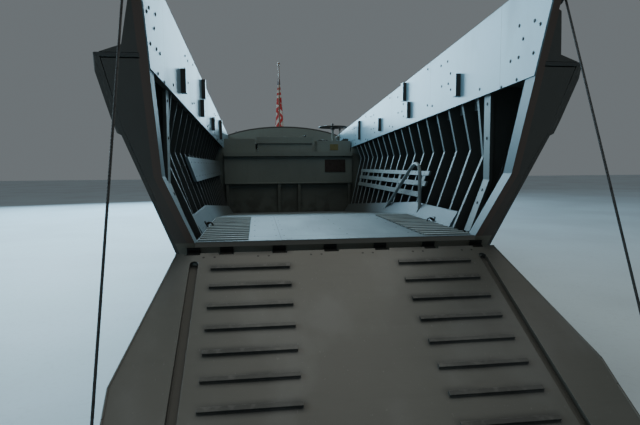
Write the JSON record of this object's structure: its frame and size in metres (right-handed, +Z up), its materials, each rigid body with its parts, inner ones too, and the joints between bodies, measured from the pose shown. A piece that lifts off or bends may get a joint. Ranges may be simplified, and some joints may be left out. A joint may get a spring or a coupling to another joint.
{
  "type": "ramped plywood landing craft",
  "caption": "Shallow boat with a steel bow ramp lowered on hinges, an open cargo well, a helm and engine hatch aft, and a curved after deck.",
  "frame": {"origin": "on the light waterline plane, on the centreline, 5.2 m aft of the ramp sill", "axes": "+Z up, -Y towards the bow and its ramp, +X towards the port side"},
  "size_m": [3.3014, 12.0881, 4.472],
  "materials": {
    "hull_paint": "matt warm grey paint on planking",
    "ramp_paint": "worn matt grey paint on steel plate",
    "deck_paint": "matt grey paint on plywood",
    "bulkhead_paint": "grey-green paint on plywood",
    "inside_paint": "pale blue-grey paint, scuffed",
    "plate_paint": "pale blue-grey paint on steel plate",
    "frame_paint": "blue-grey paint on plywood frames",
    "slat_paint": "off-white paint on slats",
    "pipe_paint": "grey paint on pipe",
    "grating_wood": "grey weathered wood",
    "bare_timber": "oiled timber",
    "varnished_wood": "varnished wood",
    "engine_paint": "grey-green engine paint",
    "dark_steel": "dark painted steel",
    "wire_rope": "greased wire rope",
    "bronze": "cast bronze",
    "bunting": "striped cotton bunting"
  },
  "bodies": {
    "hull": {"bottom_shell": "hull_paint", "transom": "hull_paint", "keel_skeg": "hull_paint", "headlog": "hull_paint", "bow_floor": "inside_paint", "well_floor": "inside_paint", "side_slats_port": "slat_paint", "side_board_starboard": "slat_paint", "handrail": "pipe_paint", "well_bulkhead": "bulkhead_paint", "cockpit_floor": "deck_paint", "engine_bed": "bare_timber", "engine": "engine_paint", "engine_casing": "bulkhead_paint", "hatch_hinge": "dark_steel", "helm_console": "bulkhead_paint", "turtle_bulkhead": "bulkhead_paint", "turtle_deck": "deck_paint", "ensign_staff": "varnished_wood", "ensign": "bunting", "ramp_hinge": "dark_steel", "side_shell_port": "hull_paint", "side_shell_starboard": "hull_paint", "rub_rail_port": "hull_paint", "rub_rail_starboard": "hull_paint", "side_deck_port": "deck_paint", "side_deck_starboard": "deck_paint", "bow_post_port": "hull_paint", "bow_post_starboard": "hull_paint", "side_frames_port": "frame_paint", "side_frames_starboard": "frame_paint", "armour_plate_port": "plate_paint", "armour_plate_starboard": "plate_paint", "bulwark_port": "hull_paint", "bulwark_starboard": "hull_paint", "bow_grating_port": "grating_wood", "bow_grating_starboard": "grating_wood", "curb_port": "inside_paint", "curb_starboard": "inside_paint", "gun_tub_port": "deck_paint", "gun_tub_starboard": "deck_paint", "ramp_cable_port": "wire_rope", "ramp_cable_starboard": "wire_rope", "cable_sheave_port": "dark_steel", "cable_sheave_starboard": "dark_steel"},
    "ramp": {"ramp": "ramp_paint"},
    "hatch": {"engine_hatch": "bulkhead_paint"},
    "screw": {"propeller": "bronze"},
    "rudder": {"rudder": "dark_steel"},
    "helm": {"steering_wheel": "dark_steel"}
  },
  "joints": [
    {"name": "ramp_hinge_turn", "type": "hinge", "parent": "hull", "child": "ramp", "pos_m": [0, -5.222, 0.183], "axis": [-1, 0, 0], "range_deg": [0, 96.6], "deforming": ["ramp_cable_port", "ramp_cable_starboard"]},
    {"name": "hatch_lift", "type": "hinge", "parent": "hull", "child": "hatch", "pos_m": [-0.584, 1.076, 1.186], "axis": [0, -1, 0], "range_deg": [0, 100]},
    {"name": "screw_spin", "type": "hinge", "parent": "hull", "child": "screw", "pos_m": [0, 3.57, -0.57], "axis": [0, 0.9976, -0.0698], "continuous": true},
    {"name": "rudder_turn", "type": "hinge", "parent": "hull", "child": "rudder", "pos_m": [0, 4.13, -0.57], "axis": [0, 0, 1], "range_deg": [-35, 35]},
    {"name": "helm_turn", "type": "hinge", "parent": "hull", "child": "helm", "pos_m": [0.83, 0.45, 1.502], "axis": [0, 0, 1], "range_deg": [-350, 350]}
  ],
  "couplings": [
    {"joint": "helm_turn", "follows": "rudder_turn", "ratio": 10}
  ]
}
